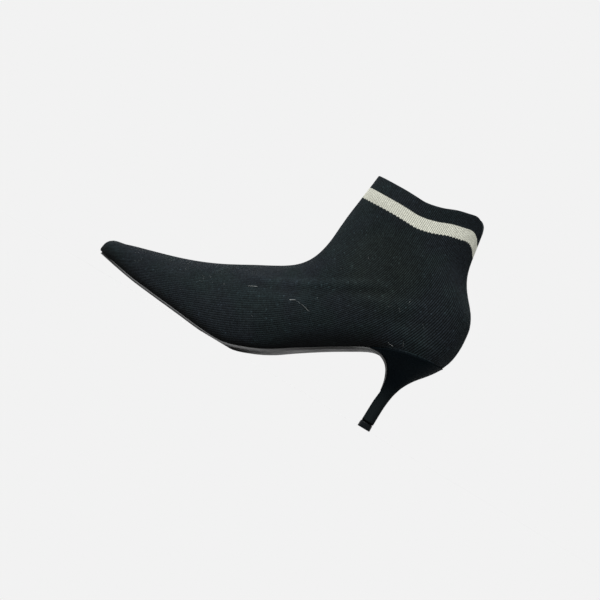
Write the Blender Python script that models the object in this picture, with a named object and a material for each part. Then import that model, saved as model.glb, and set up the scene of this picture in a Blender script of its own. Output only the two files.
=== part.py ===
"""Sock boot: a knitted pointed-toe ankle boot on a slim curved heel, one left boot.

The X axis runs from the toe (-X) to the back of the heel (+X) and Z points up.
The ground is Z = 0 and the origin lies under the middle of the heel's top piece.
Tables are in millimetres and become metres through MM.
The outer side of a left boot is -Y and the inner side is +Y.
"""

import math

import bmesh
import bpy
import numpy as np

MM = 0.001

# Driving dimensions, in millimetres.
WALL = 1.6                  # knitted wall of the upper
GAP = 0.3                   # clearance between pieces that meet
SOLE_THICKNESS = 1.5        # outsole at the forefoot and waist
SOLE_BEVEL = 0.5            # bevel along the outsole's lower edge
SOLE_MARGIN = 0.3           # how far the outsole stands out past the feather line
SEAT_MARGIN = 0.3           # how far the heel seat stands out past the feather line
INSOLE_THICKNESS = 2.5
INSOLE_INSET = 2.6          # from the feather line to the insole's edge
TOP_PIECE_HEIGHT = 4.6
TOP_PIECE_BEVEL = 0.35
SUBSTEPS = 2                # sections made between two rows of a table
LOW_STEPS = 7               # facets from the feather line to the widest line, per side
LOW_SPREAD = 1.2            # above 1 the facets are finer near the feather line
HIGH_STEPS = 8              # facets from the widest line to the ridge, per side
COLLAR_FADE = 45.0          # how far below the collar its wave dies away
RELAX_PASSES = 24           # smoothing of the ankle's side, where the sections fan out
RELAX_ROWS = (12, 31)       # the table rows between which it acts

# The last, a row per section from the toe to the collar.
# The first columns place the section's lower or back end and its upper or front end.
# ``mid`` is the ridge's Y, and the widths are measured from it to the outer and inner side.
# ``feather`` is the half width at the sole and ``wall`` the greatest half width.
# ``at`` is where the wall is widest as a share of the section.
# ``full_low`` and ``full_high`` are its roundness below and above that, 2 for an ellipse.
LAST_COLUMNS = (
    "low_x", "low_z", "high_x", "high_z", "mid",
    "feather_out", "feather_in", "wall_out", "wall_in", "at", "full_low", "full_high",
)
LAST_ROWS = (
    # toe
    (-219.4, 12.6, -218.5, 17.3, 7.0, 0.0, 0.0, 0.0, 0.0, 0.42, 2.0, 2.2),
    (-218.6, 12.4, -217.4, 19.2, 7.0, 3.4, 3.0, 4.0, 3.6, 0.42, 2.0, 2.2),
    (-216.1, 11.9, -214.6, 21.7, 7.0, 6.4, 5.2, 7.6, 6.4, 0.42, 2.0, 2.3),
    (-211.1, 11.0, -209.1, 24.2, 6.8, 10.0, 7.8, 11.6, 9.4, 0.42, 2.0, 2.3),
    (-203.2, 9.6, -200.7, 27.0, 6.5, 14.0, 11.0, 16.0, 13.0, 0.41, 2.0, 2.3),
    (-188.3, 7.3, -185.4, 31.4, 6.0, 20.4, 16.2, 22.8, 18.6, 0.39, 2.0, 2.2),
    (-168.5, 5.4, -164.5, 38.0, 5.2, 27.8, 22.4, 30.6, 25.2, 0.36, 2.0, 2.1),
    (-148.7, 3.7, -143.7, 46.8, 4.5, 34.4, 27.5, 37.4, 30.6, 0.33, 2.0, 2.0),
    # ball
    (-128.9, 1.9, -122.9, 58.2, 4.0, 39.6, 30.6, 42.6, 34.2, 0.31, 2.0, 2.0),
    (-111.0, 1.7, -107.0, 67.0, 3.5, 40.4, 29.5, 43.8, 34.6, 0.30, 2.0, 1.95),
    # waist and instep
    (-96.1, 6.3, -98.1, 73.2, 3.0, 38.0, 25.2, 42.4, 33.6, 0.31, 2.0, 1.9),
    (-82.3, 13.0, -92.6, 79.3, 2.5, 33.4, 19.5, 39.8, 32.2, 0.33, 2.0, 1.9),
    (-67.4, 23.0, -89.2, 85.6, 2.0, 28.4, 15.4, 36.8, 31.2, 0.35, 2.0, 1.9),
    (-51.5, 33.4, -87.2, 92.0, 1.5, 24.4, 13.6, 34.6, 30.8, 0.365, 2.0, 1.95),
    (-35.7, 43.1, -86.0, 98.4, 1.0, 23.0, 15.2, 33.0, 30.6, 0.375, 2.0, 2.0),
    # heel seat
    (-22.8, 50.4, -85.4, 104.6, 0.5, 23.6, 18.8, 32.0, 30.6, 0.38, 2.0, 2.0),
    (-9.9, 56.4, -85.1, 110.2, 0.2, 25.0, 22.8, 31.5, 30.6, 0.385, 2.0, 2.0),
    (2.0, 59.9, -84.7, 115.0, 0.0, 26.0, 25.2, 31.2, 30.5, 0.38, 2.2, 2.0),
    (11.9, 61.9, -84.5, 118.6, 0.0, 25.0, 24.6, 31.0, 30.5, 0.375, 2.5, 2.0),
    (18.8, 62.7, -84.2, 121.4, 0.0, 21.2, 21.0, 30.9, 30.4, 0.37, 2.7, 2.0),
    (23.4, 63.2, -84.0, 123.6, 0.0, 13.8, 13.8, 30.8, 30.3, 0.37, 2.8, 2.0),
    (25.8, 63.7, -83.8, 125.4, 0.0, 0.0, 0.0, 30.8, 30.3, 0.37, 2.8, 2.0),
    # heel curve and ankle
    (28.3, 70.8, -83.5, 127.6, 0.0, 0.0, 0.0, 30.8, 30.3, 0.38, 2.75, 2.0),
    (29.3, 79.5, -83.2, 130.0, 0.0, 0.0, 0.0, 30.7, 30.2, 0.40, 2.65, 2.0),
    (28.9, 88.2, -82.9, 132.4, 0.0, 0.0, 0.0, 30.6, 30.2, 0.42, 2.5, 2.0),
    (27.4, 97.1, -82.6, 134.8, 0.0, 0.0, 0.0, 30.4, 30.0, 0.44, 2.4, 2.0),
    (22.6, 106.0, -82.3, 137.4, 0.0, 0.0, 0.0, 30.0, 29.7, 0.46, 2.3, 2.0),
    (15.1, 114.6, -81.9, 140.4, 0.0, 0.0, 0.0, 29.6, 29.4, 0.48, 2.2, 2.05),
    (9.5, 122.6, -81.5, 143.6, 0.0, 0.0, 0.0, 29.3, 29.2, 0.49, 2.1, 2.1),
    (5.9, 132.0, -81.1, 146.8, 0.0, 0.0, 0.0, 29.1, 29.0, 0.50, 2.05, 2.1),
    (3.6, 145.0, -80.7, 150.6, 0.0, 0.0, 0.0, 29.2, 29.0, 0.50, 2.0, 2.1),
    (1.4, 158.0, -80.2, 155.0, 0.0, 0.0, 0.0, 29.4, 29.2, 0.50, 2.0, 2.1),
)
SEAT_END_ROW = 21           # the row where the feather line closes behind the heel
WAIST_END_ROW = 14          # the last row that the outsole follows before the heel

# The collar's rim rises and falls round the ankle, from the back (0) to the front (1).
COLLAR_WAVE = (
    # share, rise
    (0.00, 0.0),
    (0.03, 4.6),
    (0.08, 7.2),
    (0.185, 5.6),
    (0.30, 2.9),
    (0.42, -1.3),
    (0.52, -1.6),
    (0.69, -0.7),
    (1.00, 0.0),
)

# The outsole's flap leaves the waist and runs down the heel's breast.
# A row gives its upper face, its thickness and its half widths.
FLAP_COLUMNS = ("x", "z", "thickness", "outer", "inner")
FLAP_ROWS = (
    (-30.2, 46.1, 1.5, 22.9, 17.9),
    (-26.2, 48.2, 1.5, 22.9, 18.7),
    (-22.3, 49.7, 1.5, 22.8, 19.5),
    (-18.3, 50.3, 1.5, 22.4, 20.4),
    (-14.4, 50.0, 1.5, 21.5, 21.2),
    (-11.0, 48.8, 1.5, 20.1, 20.1),
    (-8.0, 46.5, 1.4, 17.2, 17.2),
    (-5.8, 43.4, 1.3, 13.4, 13.4),
    (-4.3, 39.8, 1.2, 10.4, 10.4),
    (-3.3, 36.0, 1.0, 7.7, 7.7),
    (-2.9, 32.0, 0.8, 6.0, 6.0),
    (-3.0, 28.5, 0.6, 4.9, 4.9),
)

# The heel, a row per section from the top piece up to the seat.
# ``corner`` is how much the half width shrinks at the breast, ``full`` the back's roundness.
HEEL_COLUMNS = ("front_x", "front_z", "back_x", "back_z", "half", "corner", "full")
HEEL_ROWS = (
    (-3.7, 4.9, 4.9, 4.9, 4.75, 0.22, 2.2),
    (-3.6, 12.0, 4.9, 12.0, 4.70, 0.22, 2.2),
    (-3.4, 20.0, 5.1, 20.0, 4.80, 0.18, 2.2),
    (-2.7, 27.0, 5.9, 27.4, 5.3, 0.10, 2.2),
    (-2.5, 32.0, 7.1, 32.8, 6.4, 0.06, 2.2),
    (-2.9, 36.2, 8.8, 37.6, 8.1, 0.05, 2.2),
    (-3.9, 40.1, 11.2, 42.2, 10.9, 0.05, 2.2),
    (-5.4, 43.8, 14.6, 47.2, 14.4, 0.06, 2.25),
    (-7.6, 47.0, 19.0, 52.6, 18.8, 0.08, 2.3),
    (-10.7, 49.4, 22.3, 57.2, 22.6, 0.10, 2.45),
    (-14.1, 50.5, 24.4, 60.6, 24.9, 0.14, 2.6),
)
SEAT_FRONT_X = -20.4        # front edge of the heel's seat
HEEL_STATIONS = 12          # facets from the breast to the back on one side
BREAST_SHARE = 0.45         # where a heel section is widest, from the breast


def catmull_rom(rows, substeps):
    """Return the rows with smoothly interpolated rows between them."""
    table = np.array(rows, float)
    padded = np.vstack([2 * table[0] - table[1], table, 2 * table[-1] - table[-2]])
    out = []
    for i in range(1, len(table)):
        before, start, end, after = padded[i - 1:i + 3]
        for k in range(substeps):
            t = k / substeps
            linear = (end - before) * t
            square = (2 * before - 5 * start + 4 * end - after) * t * t
            cube = (3 * start - before - 3 * end + after) * t ** 3
            out.append(start + 0.5 * (linear + square + cube))
    out.append(table[-1])
    return np.array(out)


def as_sections(columns, rows, substeps):
    """Return a smooth table as a dictionary of columns."""
    table = catmull_rom(rows, substeps)
    return {name: table[:, i] for i, name in enumerate(columns)}


def last_sections():
    """Return the last's sections, the feather line turning a corner behind the seat."""
    last = as_sections(LAST_COLUMNS, LAST_ROWS, SUBSTEPS)
    sole = as_sections(LAST_COLUMNS, LAST_ROWS[:SEAT_END_ROW + 1], SUBSTEPS)
    shaft = as_sections(LAST_COLUMNS, LAST_ROWS[SEAT_END_ROW:], SUBSTEPS)
    for name in ("low_x", "low_z", "feather_out", "feather_in"):
        last[name] = np.append(sole[name], shaft[name][1:])
    return last


def wall_point(last, i, side, step):
    """Return one point of the last's wall, from the feather line (0) to the ridge."""
    name = "out" if side < 0 else "in"
    wall = last["wall_" + name][i]
    ratio = 0.0
    if wall > 0:
        ratio = min(last["feather_" + name][i] / wall, 0.98)
    low_power = 2 / last["full_low"][i]
    start = math.asin(ratio ** (1 / low_power))
    at = last["at"][i]
    if step <= LOW_STEPS:
        turn = start + (math.pi / 2 - start) * (step / LOW_STEPS) ** LOW_SPREAD
        y = wall * math.sin(turn) ** low_power
        share = at * (1 - max(math.cos(turn) / math.cos(start), 0.0) ** low_power)
    else:
        turn = math.pi / 2 * (1 + (step - LOW_STEPS) / HIGH_STEPS)
        power = 2 / last["full_high"][i]
        y = wall * max(math.sin(turn), 0.0) ** power
        share = at + (1 - at) * (-math.cos(turn)) ** power
    x = last["low_x"][i] + (last["high_x"][i] - last["low_x"][i]) * share
    z = last["low_z"][i] + (last["high_z"][i] - last["low_z"][i]) * share
    below = max(last["low_z"][-1] - last["low_z"][i], last["high_z"][-1] - last["high_z"][i])
    if below < COLLAR_FADE:
        shares, rises = zip(*COLLAR_WAVE)
        fade = 0.5 + 0.5 * math.cos(math.pi * below / COLLAR_FADE)
        z += fade * float(np.interp(share, shares, rises))
    return (x, last["mid"][i] + side * y, z)


def wall_grid(last):
    """Return the outer wall's points, a row per section from one feather line over the
    ridge to the other, with the fan of sections at the ankle smoothed."""
    steps = LOW_STEPS + HIGH_STEPS
    grid = np.array([
        [wall_point(last, i, -1, step) for step in range(steps + 1)]
        + [wall_point(last, i, 1, step) for step in range(steps - 1, -1, -1)]
        for i in range(len(last["mid"]))
    ])
    place = (np.arange(len(grid)) / SUBSTEPS - RELAX_ROWS[0]) / (RELAX_ROWS[1] - RELAX_ROWS[0])
    weight = np.sin(np.pi * np.clip(place, 0.0, 1.0))[:, None, None] ** 0.5
    weight = np.repeat(weight, grid.shape[1], axis=1)
    weight[:, [0, steps, -1]] = 0.0
    for _ in range(RELAX_PASSES):
        for pull in (0.5, -0.51):
            before, after = np.roll(grid, 1, axis=1), np.roll(grid, -1, axis=1)
            mean = grid.copy()
            mean[1:-1] = (grid[:-2] + grid[2:] + before[1:-1] + after[1:-1]) / 4
            grid = grid + weight * pull * (mean - grid)
    return grid


def feather_line(last, side, offset):
    """Return one side of the feather line in plan, moved outward by ``offset``."""
    count = SEAT_END_ROW * SUBSTEPS + 1
    half = last["feather_out" if side < 0 else "feather_in"][:count]
    x, y = last["low_x"][:count], last["mid"][:count] + side * half
    dx, dy = np.gradient(x), np.gradient(y)
    dx[0], dx[-1] = 0.0, 0.0
    length = np.hypot(dx, dy)
    return x - side * offset * dy / length, y + side * offset * dx / length


def seat_height(last, x):
    """Return the height of the feather line at ``x`` and its slope."""
    count = SEAT_END_ROW * SUBSTEPS + 1
    xs, zs = last["low_x"][:count], last["low_z"][:count]
    return np.interp(x, xs, zs), np.interp(x, xs, np.gradient(zs, xs))


def make_object(name, bm, material, collection):
    """Weld a bmesh, turn its faces out and link it as one object."""
    bmesh.ops.remove_doubles(bm, verts=bm.verts, dist=0.00002)
    bmesh.ops.dissolve_degenerate(bm, edges=bm.edges, dist=0.00001)
    mesh = bpy.data.meshes.new(name)
    bm.to_mesh(mesh)
    bm.free()
    mesh.materials.append(material)
    obj = bpy.data.objects.new(name, mesh)
    collection.objects.link(obj)
    return obj


def make_material(name, colour, roughness):
    """Return a plain Principled material."""
    material = bpy.data.materials.new(name)
    material.use_nodes = True
    shader = material.node_tree.nodes["Principled BSDF"]
    shader.inputs["Base Color"].default_value = (*colour, 1.0)
    shader.inputs["Roughness"].default_value = roughness
    return material


def loft(rings, pairs_capped):
    """Loft closed rings of equal length and cap both ends.

    With ``pairs_capped`` a ring runs up one side and back down the other, and a cap
    is built from the strips between facing points, so that it can be curved.
    """
    bm = bmesh.new()
    grid = [[bm.verts.new([v * MM for v in point]) for point in ring] for ring in rings]
    count = len(grid[0])
    for low, high in zip(grid, grid[1:]):
        for k in range(count):
            after = (k + 1) % count
            bm.faces.new((low[k], low[after], high[after], high[k]))
    for ring, turned in ((grid[0], True), (grid[-1], False)):
        if pairs_capped:
            half = count // 2
            strips = [
                (ring[k], ring[k + 1], ring[count - 2 - k], ring[count - 1 - k])
                for k in range(half - 1)
            ]
        else:
            strips = [tuple(ring)]
        for strip in strips:
            bm.faces.new(strip[::-1] if turned else strip)
    bmesh.ops.remove_doubles(bm, verts=bm.verts, dist=0.00002)
    bmesh.ops.recalc_face_normals(bm, faces=bm.faces)
    return bm


def build_upper(last, material, collection):
    """Loft the knitted wall over the ridge, once outside and once inside."""
    bm = bmesh.new()
    floor = bm.verts.layers.int.new("feather")
    grid = wall_grid(last)
    count = grid.shape[1]
    for point in grid.reshape(-1, 3):
        bm.verts.new(point * MM)
    bm.verts.ensure_lookup_table()
    feather = set()
    for i in range(len(grid) - 1):
        for k in range(count - 1):
            low, high = i * count + k, (i + 1) * count + k
            bm.faces.new([bm.verts[j] for j in (low, high, high + 1, low + 1)])
        if i <= SEAT_END_ROW * SUBSTEPS:
            feather.update((bm.verts[i * count], bm.verts[i * count + count - 1]))
    for vert in feather:
        vert[floor] = 1
    bmesh.ops.remove_doubles(bm, verts=bm.verts, dist=0.00002)
    bm.normal_update()
    outside = list(bm.verts)
    walls = list(bm.faces)
    inside = {}
    for vert in outside:
        normal = vert.normal.copy()
        if vert[floor]:
            normal.z = 0.0
            normal.normalize()
        inside[vert] = bm.verts.new(vert.co - normal * WALL * MM)
    rim = [edge for edge in bm.edges if edge.is_boundary]
    for face in walls:
        bm.faces.new([inside[vert] for vert in reversed(face.verts)])
    for edge in rim:
        start, end = edge.link_loops[0].vert, edge.link_loops[0].link_loop_next.vert
        bm.faces.new((end, start, inside[start], inside[end]))
    return make_object("upper", bm, material, collection)


def sole_ring(x, z, normal, centre, outer, inner, thickness, bevel):
    """Return one section of the outsole, its lower edge bevelled."""
    nx, nz = normal
    down = (-nx * thickness, -nz * thickness)
    side = (down[0] * 0.55, down[1] * 0.55)
    cut_out, cut_in = min(bevel, outer), min(bevel, inner)
    return [
        (x, centre - outer, z),
        (x, centre + inner, z),
        (x + side[0], centre + inner, z + side[1]),
        (x + down[0], centre + inner - cut_in, z + down[1]),
        (x + down[0], centre - outer + cut_out, z + down[1]),
        (x + side[0], centre - outer, z + side[1]),
    ]


def build_outsole(last, material, collection):
    """Build the outsole from the toe to the waist and down the heel's breast."""
    outer_x, outer_y = feather_line(last, -1, SOLE_MARGIN)
    inner_x, inner_y = feather_line(last, 1, SOLE_MARGIN)
    rings = []
    for i in range(WAIST_END_ROW * SUBSTEPS + 1):
        x = (outer_x[i] + inner_x[i]) / 2
        z, slope = seat_height(last, x)
        length = math.hypot(1, slope)
        normal = (-slope / length, 1 / length)
        centre, half = (outer_y[i] + inner_y[i]) / 2, (inner_y[i] - outer_y[i]) / 2
        ring = sole_ring(
            x - GAP * normal[0], z - GAP * normal[1], normal, centre, half, half,
            SOLE_THICKNESS, SOLE_BEVEL,
        )
        rings.append([(px, py, max(pz, 0.0)) for px, py, pz in ring])
    flap = as_sections(FLAP_COLUMNS, FLAP_ROWS, SUBSTEPS)
    dx, dz = np.gradient(flap["x"]), np.gradient(flap["z"])
    length = np.hypot(dx, dz)
    for i in range(len(flap["x"])):
        normal = (-dz[i] / length[i], dx[i] / length[i])
        bevel = SOLE_BEVEL * flap["thickness"][i] / SOLE_THICKNESS
        rings.append(sole_ring(
            flap["x"][i], flap["z"][i], normal, 0.0,
            flap["outer"][i], flap["inner"][i], flap["thickness"][i], bevel,
        ))
    return make_object("outsole", loft(rings, False), material, collection)


def build_insole(last, material, collection):
    """Build the insole, which lies inside the wall on the outsole and the heel seat."""
    sides = [feather_line(last, side, -INSOLE_INSET) for side in (-1, 1)]
    rings = []
    for i in range(len(sides[0][0])):
        low, high = [], []
        for x, y in ((xs[i], ys[i]) for xs, ys in sides):
            z, slope = seat_height(last, x)
            low.append((x, y, z))
            high.append((x, y, z + INSOLE_THICKNESS * math.hypot(1, slope)))
        rings.append(low + high[::-1])
    return make_object("insole", loft(rings, False), material, collection)


def heel_outline(front, back, half_out, half_in, corner, full):
    """Return a heel section's stations from the breast to the back: x and half widths."""
    out = []
    for k in range(HEEL_STATIONS + 1):
        share = math.sin(math.pi / 2 * k / HEEL_STATIONS)
        x = front + (back - front) * share
        if share < BREAST_SHARE:
            width = 1 - corner * (1 - share / BREAST_SHARE) ** 2
        else:
            past = (share - BREAST_SHARE) / (1 - BREAST_SHARE)
            width = max(1 - past ** full, 0.0) ** (1 / full)
        out.append((x, half_out * width, half_in * width))
    return out


def ring_of(stations, height):
    """Return a ring that runs up the outer side and back down the inner side."""
    outer = [(x, -out, height(x)) for x, out, _ in stations]
    inner = [(x, into, height(x)) for x, _, into in stations]
    return outer + inner[::-1]


def build_heel(last, material, collection):
    """Loft the covered heel from its tip to the seat under the upper."""
    heel = as_sections(HEEL_COLUMNS, HEEL_ROWS, SUBSTEPS)
    rings = []
    for i in range(len(heel["half"])):
        front, back = heel["front_x"][i], heel["back_x"][i]
        ends = (heel["front_z"][i], heel["back_z"][i])
        stations = heel_outline(
            front, back, heel["half"][i], heel["half"][i], heel["corner"][i], heel["full"][i]
        )
        rings.append(ring_of(
            stations, lambda x, f=front, b=back, e=ends: float(np.interp(x, (f, b), e))
        ))
    outer_x, outer_y = feather_line(last, -1, SEAT_MARGIN)
    inner_x, inner_y = feather_line(last, 1, SEAT_MARGIN)
    stations = []
    for k in range(HEEL_STATIONS + 1):
        share = math.sin(math.pi / 2 * k / HEEL_STATIONS)
        x = SEAT_FRONT_X + (outer_x[-1] - SEAT_FRONT_X) * share
        stations.append((
            x, -float(np.interp(x, outer_x, outer_y)), float(np.interp(x, inner_x, inner_y))
        ))
    rings.append(ring_of(stations, lambda x: float(seat_height(last, x)[0]) - GAP))
    return make_object("heel", loft(rings, True), material, collection)


def build_top_piece(material, collection):
    """Build the wearing tip under the heel, its ground edge bevelled."""
    cut = TOP_PIECE_BEVEL
    levels = (
        # height, front x, back x, half width
        (0.0, -4.2 + cut, 4.9 - cut, 4.8 - cut),
        (cut, -4.2, 4.9, 4.8),
        (TOP_PIECE_HEIGHT, -3.5, 4.7, 4.6),
    )
    rings = []
    for height, front, back, half in levels:
        stations = heel_outline(front, back, half, half, 0.22, 2.2)
        rings.append(ring_of(stations, lambda x, z=height: z))
    return make_object("top_piece", loft(rings, True), material, collection)


def main():
    """Clear the scene and build the boot's pieces."""
    for obj in list(bpy.data.objects):
        bpy.data.objects.remove(obj, do_unlink=True)
    collection = bpy.data.collections.new("sock boot")
    bpy.context.scene.collection.children.link(collection)
    last = last_sections()
    build_upper(last, make_material("knit", (0.014, 0.018, 0.020), 0.9), collection)
    build_outsole(last, make_material("sole leather", (0.03, 0.03, 0.03), 0.3), collection)
    build_insole(last, make_material("sock lining", (0.02, 0.02, 0.02), 0.7), collection)
    build_heel(last, make_material("heel cover", (0.006, 0.008, 0.010), 0.55), collection)
    build_top_piece(make_material("top piece", (0.008, 0.008, 0.008), 0.25), collection)


main()
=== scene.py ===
"""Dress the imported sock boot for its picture.

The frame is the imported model: X runs from the toe (-X) to the heel (+X), Z is up and the
outer side of this left boot faces -Y.  The origin lies under the heel's top piece.
Tables are in millimetres and become metres through MM.
"""

import math

import bmesh
import bpy
import numpy as np
from mathutils import Matrix, Vector


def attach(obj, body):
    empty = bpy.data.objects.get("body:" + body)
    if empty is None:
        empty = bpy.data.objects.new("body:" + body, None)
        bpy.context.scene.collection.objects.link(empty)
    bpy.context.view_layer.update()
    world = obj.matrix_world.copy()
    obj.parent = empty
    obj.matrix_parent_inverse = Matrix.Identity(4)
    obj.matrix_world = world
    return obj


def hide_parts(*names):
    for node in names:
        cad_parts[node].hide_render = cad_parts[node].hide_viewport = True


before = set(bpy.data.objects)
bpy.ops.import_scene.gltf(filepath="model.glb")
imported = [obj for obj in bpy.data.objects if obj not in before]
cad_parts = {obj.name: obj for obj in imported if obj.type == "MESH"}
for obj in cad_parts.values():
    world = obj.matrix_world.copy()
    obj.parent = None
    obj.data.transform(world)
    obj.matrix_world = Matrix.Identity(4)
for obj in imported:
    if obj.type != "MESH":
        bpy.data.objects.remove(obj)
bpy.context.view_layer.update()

MM = 0.001

# The last and the pieces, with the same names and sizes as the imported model's source.
WALL = 1.6
GAP = 0.3
SOLE_THICKNESS = 1.5
SOLE_MARGIN = 0.3
SEAT_MARGIN = 0.3
INSOLE_THICKNESS = 2.5
INSOLE_INSET = 2.6
TOP_PIECE_HEIGHT = 4.6
SUBSTEPS = 2
LOW_STEPS = 7
LOW_SPREAD = 1.2
HIGH_STEPS = 8
COLLAR_FADE = 45.0
RELAX_PASSES = 24
RELAX_ROWS = (12, 31)

LAST_COLUMNS = (
    "low_x", "low_z", "high_x", "high_z", "mid",
    "feather_out", "feather_in", "wall_out", "wall_in", "at", "full_low", "full_high",
)
LAST_ROWS = (
    # toe
    (-219.4, 12.6, -218.5, 17.3, 7.0, 0.0, 0.0, 0.0, 0.0, 0.42, 2.0, 2.2),
    (-218.6, 12.4, -217.4, 19.2, 7.0, 3.4, 3.0, 4.0, 3.6, 0.42, 2.0, 2.2),
    (-216.1, 11.9, -214.6, 21.7, 7.0, 6.4, 5.2, 7.6, 6.4, 0.42, 2.0, 2.3),
    (-211.1, 11.0, -209.1, 24.2, 6.8, 10.0, 7.8, 11.6, 9.4, 0.42, 2.0, 2.3),
    (-203.2, 9.6, -200.7, 27.0, 6.5, 14.0, 11.0, 16.0, 13.0, 0.41, 2.0, 2.3),
    (-188.3, 7.3, -185.4, 31.4, 6.0, 20.4, 16.2, 22.8, 18.6, 0.39, 2.0, 2.2),
    (-168.5, 5.4, -164.5, 38.0, 5.2, 27.8, 22.4, 30.6, 25.2, 0.36, 2.0, 2.1),
    (-148.7, 3.7, -143.7, 46.8, 4.5, 34.4, 27.5, 37.4, 30.6, 0.33, 2.0, 2.0),
    # ball
    (-128.9, 1.9, -122.9, 58.2, 4.0, 39.6, 30.6, 42.6, 34.2, 0.31, 2.0, 2.0),
    (-111.0, 1.7, -107.0, 67.0, 3.5, 40.4, 29.5, 43.8, 34.6, 0.30, 2.0, 1.95),
    # waist and instep
    (-96.1, 6.3, -98.1, 73.2, 3.0, 38.0, 25.2, 42.4, 33.6, 0.31, 2.0, 1.9),
    (-82.3, 13.0, -92.6, 79.3, 2.5, 33.4, 19.5, 39.8, 32.2, 0.33, 2.0, 1.9),
    (-67.4, 23.0, -89.2, 85.6, 2.0, 28.4, 15.4, 36.8, 31.2, 0.35, 2.0, 1.9),
    (-51.5, 33.4, -87.2, 92.0, 1.5, 24.4, 13.6, 34.6, 30.8, 0.365, 2.0, 1.95),
    (-35.7, 43.1, -86.0, 98.4, 1.0, 23.0, 15.2, 33.0, 30.6, 0.375, 2.0, 2.0),
    # heel seat
    (-22.8, 50.4, -85.4, 104.6, 0.5, 23.6, 18.8, 32.0, 30.6, 0.38, 2.0, 2.0),
    (-9.9, 56.4, -85.1, 110.2, 0.2, 25.0, 22.8, 31.5, 30.6, 0.385, 2.0, 2.0),
    (2.0, 59.9, -84.7, 115.0, 0.0, 26.0, 25.2, 31.2, 30.5, 0.38, 2.2, 2.0),
    (11.9, 61.9, -84.5, 118.6, 0.0, 25.0, 24.6, 31.0, 30.5, 0.375, 2.5, 2.0),
    (18.8, 62.7, -84.2, 121.4, 0.0, 21.2, 21.0, 30.9, 30.4, 0.37, 2.7, 2.0),
    (23.4, 63.2, -84.0, 123.6, 0.0, 13.8, 13.8, 30.8, 30.3, 0.37, 2.8, 2.0),
    (25.8, 63.7, -83.8, 125.4, 0.0, 0.0, 0.0, 30.8, 30.3, 0.37, 2.8, 2.0),
    # heel curve and ankle
    (28.3, 70.8, -83.5, 127.6, 0.0, 0.0, 0.0, 30.8, 30.3, 0.38, 2.75, 2.0),
    (29.3, 79.5, -83.2, 130.0, 0.0, 0.0, 0.0, 30.7, 30.2, 0.40, 2.65, 2.0),
    (28.9, 88.2, -82.9, 132.4, 0.0, 0.0, 0.0, 30.6, 30.2, 0.42, 2.5, 2.0),
    (27.4, 97.1, -82.6, 134.8, 0.0, 0.0, 0.0, 30.4, 30.0, 0.44, 2.4, 2.0),
    (22.6, 106.0, -82.3, 137.4, 0.0, 0.0, 0.0, 30.0, 29.7, 0.46, 2.3, 2.0),
    (15.1, 114.6, -81.9, 140.4, 0.0, 0.0, 0.0, 29.6, 29.4, 0.48, 2.2, 2.05),
    (9.5, 122.6, -81.5, 143.6, 0.0, 0.0, 0.0, 29.3, 29.2, 0.49, 2.1, 2.1),
    (5.9, 132.0, -81.1, 146.8, 0.0, 0.0, 0.0, 29.1, 29.0, 0.50, 2.05, 2.1),
    (3.6, 145.0, -80.7, 150.6, 0.0, 0.0, 0.0, 29.2, 29.0, 0.50, 2.0, 2.1),
    (1.4, 158.0, -80.2, 155.0, 0.0, 0.0, 0.0, 29.4, 29.2, 0.50, 2.0, 2.1),
)
SEAT_END_ROW = 21
WAIST_END_ROW = 14

COLLAR_WAVE = (
    # share, rise
    (0.00, 0.0),
    (0.03, 4.6),
    (0.08, 7.2),
    (0.185, 5.6),
    (0.30, 2.9),
    (0.42, -1.3),
    (0.52, -1.6),
    (0.69, -0.7),
    (1.00, 0.0),
)

FLAP_COLUMNS = ("x", "z", "thickness", "outer", "inner")
FLAP_ROWS = (
    (-30.2, 46.1, 1.5, 22.9, 17.9),
    (-26.2, 48.2, 1.5, 22.9, 18.7),
    (-22.3, 49.7, 1.5, 22.8, 19.5),
    (-18.3, 50.3, 1.5, 22.4, 20.4),
    (-14.4, 50.0, 1.5, 21.5, 21.2),
    (-11.0, 48.8, 1.5, 20.1, 20.1),
    (-8.0, 46.5, 1.4, 17.2, 17.2),
    (-5.8, 43.4, 1.3, 13.4, 13.4),
    (-4.3, 39.8, 1.2, 10.4, 10.4),
    (-3.3, 36.0, 1.0, 7.7, 7.7),
    (-2.9, 32.0, 0.6, 6.0, 6.0),
    (-2.9, 28.5, 0.15, 4.9, 4.9),
)

HEEL_COLUMNS = ("front_x", "front_z", "back_x", "back_z", "half", "corner", "full")
HEEL_ROWS = (
    (-3.7, 4.9, 4.9, 4.9, 4.75, 0.22, 2.2),
    (-3.6, 12.0, 4.9, 12.0, 4.70, 0.22, 2.2),
    (-3.4, 20.0, 5.1, 20.0, 4.80, 0.18, 2.2),
    (-2.7, 27.0, 5.9, 27.4, 5.3, 0.10, 2.2),
    (-2.5, 32.0, 7.1, 32.8, 6.4, 0.06, 2.2),
    (-2.9, 36.2, 8.8, 37.6, 8.1, 0.05, 2.2),
    (-3.9, 40.1, 11.2, 42.2, 10.9, 0.05, 2.2),
    (-5.4, 43.8, 14.6, 47.2, 14.4, 0.06, 2.25),
    (-7.6, 47.0, 19.0, 52.6, 18.8, 0.08, 2.3),
    (-10.7, 49.4, 22.3, 57.2, 22.6, 0.10, 2.45),
    (-14.1, 50.5, 24.4, 60.6, 24.9, 0.14, 2.6),
)
SEAT_FRONT_X = -20.4
BREAST_SHARE = 0.45
SEAT_BEAD = (
    # past the seat's margin, drop, ahead of the seat's front
    (-0.35, 1.3, 0.0), (0.0, 1.0, 0.0), (0.25, 0.6, 0.4),
    (0.1, 0.25, 1.6), (-0.2, 0.0, 2.2), (-1.2, -0.27, 2.2),
)

# Details of the meshes
RELAX_PULLS = (0.5, -0.51)
FEATHER_SHARE = 0.98  # the feather line's greatest share of the wall's half width
WELD_DISTANCE = 0.000012  # metres, as is the next
SHORTEST_EDGE = 0.000005

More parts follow.
